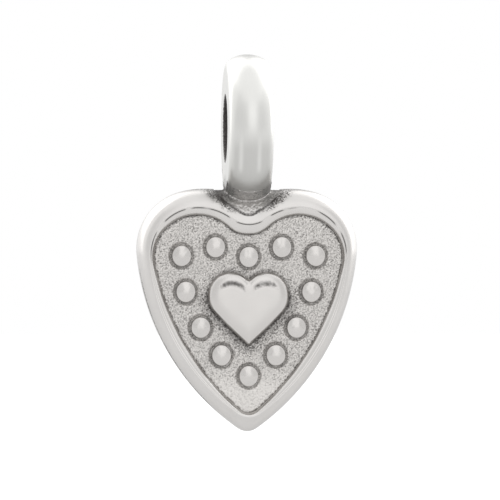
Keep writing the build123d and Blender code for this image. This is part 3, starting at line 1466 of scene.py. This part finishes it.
@dataclass
class Field(SubAssembly):
    """Stippled floor inside the bezel, with a moat round each raised form."""

    seam: float = 0.01
    step: float = 0.036
    margin_share: float = 0.4
    spread: float = 1.01
    grain_size: float = 0.09
    grain_depth: float = 0.025
    moat_depth: float = 0.06
    collar_depth: float = 0.03
    groove_depth: float = 0.012
    finish: Silver = Silver(
        "field_stippled_silver",
        colour=(0.625, 0.605, 0.583),
        roughness=0.34,
        speckle_share=0.42,
        speckle_size=0.06,
        scratch_size=0.05,
        scratch_depth=0.004,
    )

    def __post_init__(self) -> None:
        """Keep the outlines and the beads' places for the many readings of them."""
        self.line = self.sizes.field_line.inset(self.seam)
        self.rim_table = OutlineTable(self.line.points())
        self.heart_table = OutlineTable(self.sizes.heart_line.points())
        self.moats = self.sizes.bead_places

    def sets(self) -> Iterator[tuple[Silver, list[bpy.types.Object]]]:
        """The field in its finish."""
        yield self.finish, [self.build()]

    def moat(self, place: Vector) -> float:
        """How deep the nearest bead's moat is at a place.

        Args:
            place: A vertex's place.

        Returns:
            The share of the moat's depth, from 0 to 1.
        """
        at = Vector((place.x, place.z))
        offset = at - min(self.moats, key=lambda middle: (middle - at).length)
        across = offset.x / self.sizes.bead_half_width
        up = offset.y / self.sizes.bead_half_height
        return smooth_step(1.33, 1.05, sqrt(across**2 + up**2) + 0.03 * grain(place, 0.20, 17.0))

    def spot(self, place: Vector) -> FloorSpot:
        """Read what shapes the floor at a place.

        Args:
            place: A vertex's place on the flat floor.

        Returns:
            The readings.
        """
        to_heart = -self.heart_table.distance(place)
        to_rim = self.rim_table.distance(place)
        width = 0.055 + 0.105 * upper_part(place.z)
        stipple = 0.6 * grain(place, self.grain_size, 2.0)
        stipple += 0.5 * grain(place, 0.6 * self.grain_size, 8.0)
        return FloorSpot(
            place=place,
            to_heart=to_heart,
            moat=self.moat(place),
            collar=smooth_step(0.15, 0.03, to_heart + 0.015 * grain(place, 0.20, 19.0)),
            groove=smooth_step(width, 0.0, to_rim + 0.03 * grain(place, 0.12, 23.0)),
            stipple=0.5 + 0.5 * clamp(stipple, -1.0, 1.0),
        )

    def dip(self, spot: FloorSpot) -> float:
        """Depth of the floor in the moats, along the rim and in the stipple.

        Args:
            spot: Readings of the floor.

        Returns:
            The depth.
        """
        calm = 1.0 - 0.6 * max(spot.moat, spot.collar)
        sunk = max(self.moat_depth * spot.moat, self.collar_depth * spot.collar)
        return sunk + self.groove_depth * spot.groove + self.grain_depth * spot.stipple * calm

    def patina(self, spot: FloorSpot) -> float:
        """Share of patina in moats, along the rim, round the small heart and in the pits, with
        painted shade under the small heart.

        Args:
            spot: Readings of the floor.

        Returns:
            The share.
        """
        place, low = spot.place, spot.stipple
        # Round the small heart the field darkens, most of all below it: patina with painted shade
        # under the raised heart.
        below = smooth_step(-8.4, -9.4, place.z)
        heart_halo_and_shade = smooth_step(0.80, 0.05, spot.to_heart) * (0.08 + 0.30 * below)
        rim_share = 0.20 * mottle(place, 0.45, 14.0) + 0.34 * upper_part(place.z)
        patchy = mottle(place, 0.25, 41.0)
        heart_share = 0.12 + 0.18 * below + 0.16 * patchy
        moat_share = 0.22 + 0.20 * patchy
        dark = max(moat_share * spot.moat, heart_share * spot.collar, rim_share * spot.groove)
        tip_light = smooth_step(-12.7, -14.4, place.z)
        pits = 0.35 * smooth_step(0.25, 0.95, low) * (1.0 - dark) * (1.0 - 0.5 * tip_light)
        return 0.10 * (1.0 - tip_light) + dark * (0.7 + 0.5 * low) + pits + heart_halo_and_shade * (0.4 + low)

    def lay_grid(self, bm: bmesh.types.BMesh) -> None:
        """Lay a fine grid, trim it to the field and draw its edge out to the rim.

        Args:
            bm: Empty mesh to lay it in.
        """
        line = self.line
        height = line.top - line.tip
        middle = (line.top + line.tip) / 2
        across, down = int(2 * line.half / self.step), int(height / self.step)
        bmesh.ops.create_grid(bm, x_segments=across, y_segments=down, size=1.0)
        for vert in bm.verts:
            x = vert.co.x * line.half * self.spread
            z = middle + vert.co.y * height / 2 * self.spread
            vert.co = (x, -self.sizes.field_front, z)
        margin = self.margin_share * self.step
        outside = [v for v in bm.verts if self.rim_table.distance(v.co) < margin]
        bmesh.ops.delete(bm, geom=outside, context="VERTS")
        lone = [e for e in bm.edges if not e.link_faces]
        bmesh.ops.delete(bm, geom=lone, context="EDGES")
        for vert in {v for e in bm.edges if e.is_boundary for v in e.verts}:
            nearest = self.rim_table.nearest(vert.co)
            vert.co.x, vert.co.z = nearest.x, nearest.y

    def build(self) -> bpy.types.Object:
        """Lay the grid, sink and stain it, and close it down to the back plate.

        Returns:
            The field.
        """
        shell = Shell("field_stippled")
        bm = shell.bm
        self.lay_grid(bm)
        layer = bm.verts.layers.float.new(PATINA_AND_SHADE)
        for vert in bm.verts:
            spot = self.spot(vert.co.copy())
            vert.co.y = -self.sizes.field_front + self.dip(spot)
            vert[layer] = clamp(self.patina(spot))
        for vert in extruded(bm, [e for e in bm.edges if e.is_boundary]):
            vert.co.y = -self.sizes.plate_front
        bottom = [e for e in bm.edges if e.is_boundary]
        bmesh.ops.triangle_fill(bm, use_beauty=True, edges=bottom)
        piece = shell.finish(Slot.FIELD, sharp=80.0)
        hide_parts("field_plate")
        return piece


@dataclass
class RaisedForms(SubAssembly):
    """The small puffed heart and the twelve beads on the field."""

    heart_wall: float = 0.12
    heart_rise: float = 0.44
    heart_steps: int = 26
    heart_middle_share: float = 0.42
    heart_puff: float = 0.42
    crease_depth: float = 0.022
    bead_rise: float = 0.52
    bead_steps: int = 56
    bead_dent: float = 0.02
    bead_wear: float = 0.007
    finish_heart: Silver = Silver(
        "heart_silver", colour=(0.550, 0.533, 0.518), roughness=0.26, speckle_share=0.25
    )
    finish_bead: Silver = Silver("bead_silver", colour=(0.550, 0.533, 0.518), roughness=0.26)

    def sets(self) -> Iterator[tuple[Silver, list[bpy.types.Object]]]:
        """The small heart and the beads, each in their finish."""
        yield self.finish_heart, [self.build_heart()]
        yield self.finish_bead, self.build_beads()

    def build_heart(self) -> bpy.types.Object:
        """Puffed heart, drawn in ring by ring to its top, with creases under its lobes.

        Returns:
            The small heart.
        """
        line = self.sizes.heart_line
        middle = line.top - self.heart_middle_share * (line.top - line.tip)
        foot = self.sizes.floor + self.heart_wall
        shell = Shell("centre_heart_puffed")
        shell.ring(line.points(), self.sizes.floor)
        shell.ring(line.points(), foot)
        for step in range(1, self.heart_steps):
            share = cos(pi / 2 * step / self.heart_steps) ** self.heart_puff
            rise = self.heart_rise * (1.0 - share**8) ** 0.5
            shell.ring(line.shrink(share, middle).points(), foot + rise)
            for vert in shell.last:
                vert.co.y += self.crease_depth * self.crease(vert.co)
        shell.cap()
        stain_and_shade(shell.bm, self.heart_patina)
        piece = shell.finish(Slot.HEART, sharp=70.0)
        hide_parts("centre_heart")
        return piece

    def crease(self, place: Vector) -> float:
        """Depth of the creases under the small heart's lobes.

        Args:
            place: A vertex's place.

        Returns:
            The share of the creases' depth, from 0 to 1.
        """
        across = abs(place.x)
        bow = -8.42 - 0.30 * ((across - 0.95) / 0.75) ** 2
        ends = smooth_step(0.15, 0.45, across) * smooth_step(1.65, 1.25, across)
        return hump(place.z, bow, 0.21) * ends

    def heart_patina(self, place: Vector) -> float:
        """Share of patina on the small heart: at its foot and in its creases.

        Args:
            place: A vertex's place.

        Returns:
            The share.
        """
        foot = 0.10 * smooth_step(1.04, 0.98, -place.y)
        side = 0.80 if place.x < 0 else 0.52
        return max(foot, self.crease(place) * (side + 0.20 * grain(place, 0.3, 31.0)))

    @staticmethod
    def dome() -> list[Vector]:
        """Profile of a bead, from the middle of its foot out and over to its top.

        Returns:
            The points, as shares of the half width and the rise.
        """
        face, edge, count = 0.24, 0.90, 8
        brink = 1.0 - face * edge**2
        line = [Vector((0.0, 0.0))]
        for step in range(count):
            angle = pi / 2 * step / count
            line.append(Vector((edge + (1.0 - edge) * cos(angle), brink * sin(angle))))
        for step in range(count + 1):
            across = edge * (1.0 - step / count)
            line.append(Vector((across, 1.0 - face * across**2)))
        return line

    def build_bead(self, number: int, place: Vector) -> bpy.types.Object:
        """Oval dome, spun from its profile, with a dented and worn surface.

        Args:
            number: Number of the bead, from 1.
            place: Its centre, as x and z.

        Returns:
            The bead.
        """
        sizes = self.sizes
        width = sizes.bead_half_width
        shell = Shell(f"bead_{number:02d}_dome")
        bm = shell.bm
        verts = [bm.verts.new((p.x * width, -p.y * self.bead_rise, 0.0)) for p in self.dome()]
        edges = [bm.edges.new(pair) for pair in zip(verts, verts[1:])]
        spin_round(bm, verts + edges, (0.0, 1.0, 0.0), self.bead_steps)
        for vert in bm.verts:
            unit = vert.co.copy()
            vert.co.z *= sizes.bead_half_height / width
            vert.co *= 1.0 - self.bead_dent * mottle(unit, 0.5, number)
            wear = self.bead_wear * (1.0 + grain(unit, 0.20, number + 50.0))
            vert.co.y += wear * smooth_step(0.0, 0.3, -unit.y)
            vert.co += Vector((place.x, -sizes.floor, place.y))
        stain_and_shade(bm, self.bead_patina)
        piece = shell.finish(Slot.BEAD, sharp=60.0)
        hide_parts(f"bead_{number:02d}")
        return piece

    def build_beads(self) -> list[bpy.types.Object]:
        """The twelve beads, from the top down and from left to right."""
        places = enumerate(self.sizes.bead_places, start=1)
        return [self.build_bead(number, place) for number, place in places]

    def bead_patina(self, place: Vector) -> float:
        """Share of patina on a bead: at its foot."""
        return 0.25 * smooth_step(1.00, 0.94, -place.y)


# Studio


@dataclass(frozen=True)
class SoftBox:
    """A large soft lamp that looks at the charm, with its sizes in metres."""

    name: str
    azimuth: float
    elevation: float
    width: float
    height: float
    radiance: float
    distance: float = 0.45

    def build(self, aim: Vector) -> None:
        """Hang the lamp and turn it to the charm.

        Args:
            aim: Point that the lamp looks at.
        """
        lamp = bpy.data.lights.new(self.name, "AREA")
        lamp.shape = "RECTANGLE"
        lamp.size = self.width
        lamp.size_y = self.height
        lamp.energy = self.radiance * pi * self.width * self.height
        place = bpy.data.objects.new(self.name, lamp)
        bpy.context.scene.collection.objects.link(place)
        turn, lift = radians(self.azimuth), radians(self.elevation)
        away = Vector((sin(turn) * cos(lift), -cos(turn) * cos(lift), sin(lift)))
        place.location = aim + away * self.distance
        place.rotation_euler = away.to_track_quat("Z", "Y").to_euler()
        place.visible_camera = False


@dataclass(frozen=True)
class Studio:
    """Pale floor, white surroundings, soft boxes and the camera."""

    aim_height: float = -6.61
    azimuth: float = -4.3
    frame_width: float = 27.15
    lens: float = 280.0
    side_shift: float = 0.16
    focus_plane: float = 0.5
    floor_height: float = -22.0
    floor_radius: float = 0.5
    floor_shade: float = 0.28
    floor_roughness: float = 0.9
    floor_glow: float = 0.74
    ambient: float = 0.55
    boxes: tuple[SoftBox, ...] = (
        SoftBox("box_left", -138.0, 16.0, 0.56, 0.90, 0.7),
        SoftBox("box_right", 124.0, 16.0, 0.66, 0.90, 1.0),
        SoftBox("box_left_fill", -100.0, 20.0, 0.62, 0.80, 0.28),
        SoftBox("box_right_fill", 92.0, 20.0, 0.62, 0.80, 0.20),
        SoftBox("box_back", 174.5, 40.0, 0.80, 0.54, 0.12),
        SoftBox("box_back_left", -148.0, 40.0, 0.42, 0.50, 0.50),
        SoftBox("box_back_right", 137.0, 40.0, 0.42, 0.50, 0.50),
        SoftBox("box_top", 5.5, 78.0, 0.60, 0.66, 0.32),
        SoftBox("box_front", 5.5, 17.0, 0.25, 0.40, 0.46),
    )

    @property
    def aim(self) -> Vector:
        """Middle of the charm, which the lamps and the camera look at, in metres."""
        return Vector((0.0, 0.0, self.aim_height)) * MM

    def build(self) -> None:
        """Build the whole studio."""
        self.build_world()
        self.build_floor()
        for box in self.boxes:
            box.build(self.aim)
        self.build_camera()

    @staticmethod
    def mix_by_ray(
        tree: bpy.types.NodeTree, lighting: bpy.types.NodeSocket, seen: bpy.types.NodeSocket
    ) -> bpy.types.NodeSocket:
        """Mix two shaders by whether a camera, a glossy or a transmission ray looks.

        Args:
            tree: Node tree to work in.
            lighting: Shader that lights the object.
            seen: Shader that such a ray sees.

        Returns:
            The socket of the mixed shader.
        """
        path = tree.nodes.new("ShaderNodeLightPath")
        looks = path.outputs["Is Camera Ray"]
        for name in ("Is Glossy Ray", "Is Transmission Ray"):
            either = tree.nodes.new("ShaderNodeMath")
            either.operation = "MAXIMUM"
            tree.links.new(looks, either.inputs[0])
            tree.links.new(path.outputs[name], either.inputs[1])
            looks = either.outputs[0]
        mix = tree.nodes.new("ShaderNodeMixShader")
        for giver, taker in zip((looks, lighting, seen), mix.inputs):
            tree.links.new(giver, taker)
        return mix.outputs[0]

    def build_world(self) -> None:
        """Even light, and white where a camera, a gloss or a glass ray looks."""
        world = bpy.data.worlds.new("studio_world")
        bpy.context.scene.world = world
        world.use_nodes = True
        tree = world.node_tree
        tree.nodes.clear()
        out = tree.nodes.new("ShaderNodeOutputWorld")
        light = tree.nodes.new("ShaderNodeBackground")
        white = tree.nodes.new("ShaderNodeBackground")
        set_inputs(light, {"Color": WHITE, "Strength": self.ambient})
        set_inputs(white, {"Color": WHITE, "Strength": 1.0})
        mixed = self.mix_by_ray(tree, light.outputs[0], white.outputs[0])
        tree.links.new(mixed, out.inputs["Surface"])

    def build_floor(self) -> None:
        """Round pale floor under the hanging charm."""
        bm = bmesh.new()
        bmesh.ops.create_circle(bm, cap_ends=True, segments=96, radius=self.floor_radius)
        bmesh.ops.translate(bm, verts=bm.verts, vec=(0.0, 0.0, self.floor_height * MM))
        floor = into_scene(bm, "studio_floor")
        material = bpy.data.materials.new("studio_floor_paper")
        material.use_nodes = True
        tree = material.node_tree
        shader = tree.nodes["Principled BSDF"]
        shade = (self.floor_shade, self.floor_shade, self.floor_shade, 1.0)
        set_inputs(shader, {"Base Color": shade, "Roughness": self.floor_roughness})
        glow = tree.nodes.new("ShaderNodeEmission")
        set_inputs(glow, {"Color": WHITE, "Strength": self.floor_glow})
        both = tree.nodes.new("ShaderNodeAddShader")
        for giver, taker in zip((shader.outputs[0], glow.outputs[0]), both.inputs):
            tree.links.new(giver, taker)
        mixed = self.mix_by_ray(tree, shader.outputs[0], both.outputs[0])
        tree.links.new(mixed, tree.nodes["Material Output"].inputs["Surface"])
        floor.data.materials.append(material)
        floor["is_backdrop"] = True

    def build_camera(self) -> None:
        """Camera at the photograph's angle and frame."""
        camera = bpy.data.cameras.new("studio_camera")
        camera.sensor_width = 36.0
        camera.lens = self.lens
        camera.clip_start = 0.01
        camera.clip_end = 10.0
        eye = bpy.data.objects.new("studio_camera", camera)
        bpy.context.scene.collection.objects.link(eye)
        turn = radians(self.azimuth)
        back = Vector((sin(turn), -cos(turn), 0.0))
        right = Vector((cos(turn), sin(turn), 0.0))
        distance = self.frame_width * MM * self.lens / camera.sensor_width
        shift = right * self.side_shift * MM
        eye.location = self.aim + shift + back * (distance + self.focus_plane * MM)
        eye.rotation_euler = (pi / 2, 0.0, turn)
        bpy.context.scene.camera = eye


def main() -> None:
    """Build, dress and light the charm, and log each piece's triangles."""
    logging.basicConfig(level=logging.INFO, format="%(message)s")
    scene = bpy.context.scene
    scene.view_settings.view_transform = "Standard"
    sizes = CharmSizes()
    effects = SilverEffects()
    for assembly in (BailRing, BailSeat, HeartBody, Field, RaisedForms):
        for piece in assembly(sizes).make(effects):
            triangles = sum(len(face.vertices) - 2 for face in piece.data.polygons)
            LOG.info("%s: %d triangles in %s", piece.name, triangles, piece.active_material.name)
    Studio().build()
    boxes = {"cad": CAD_BOX, "visual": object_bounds()}
    {name: [list(corner) for corner in box] for name, box in boxes.items()}


if __name__ == "__main__":
    main()
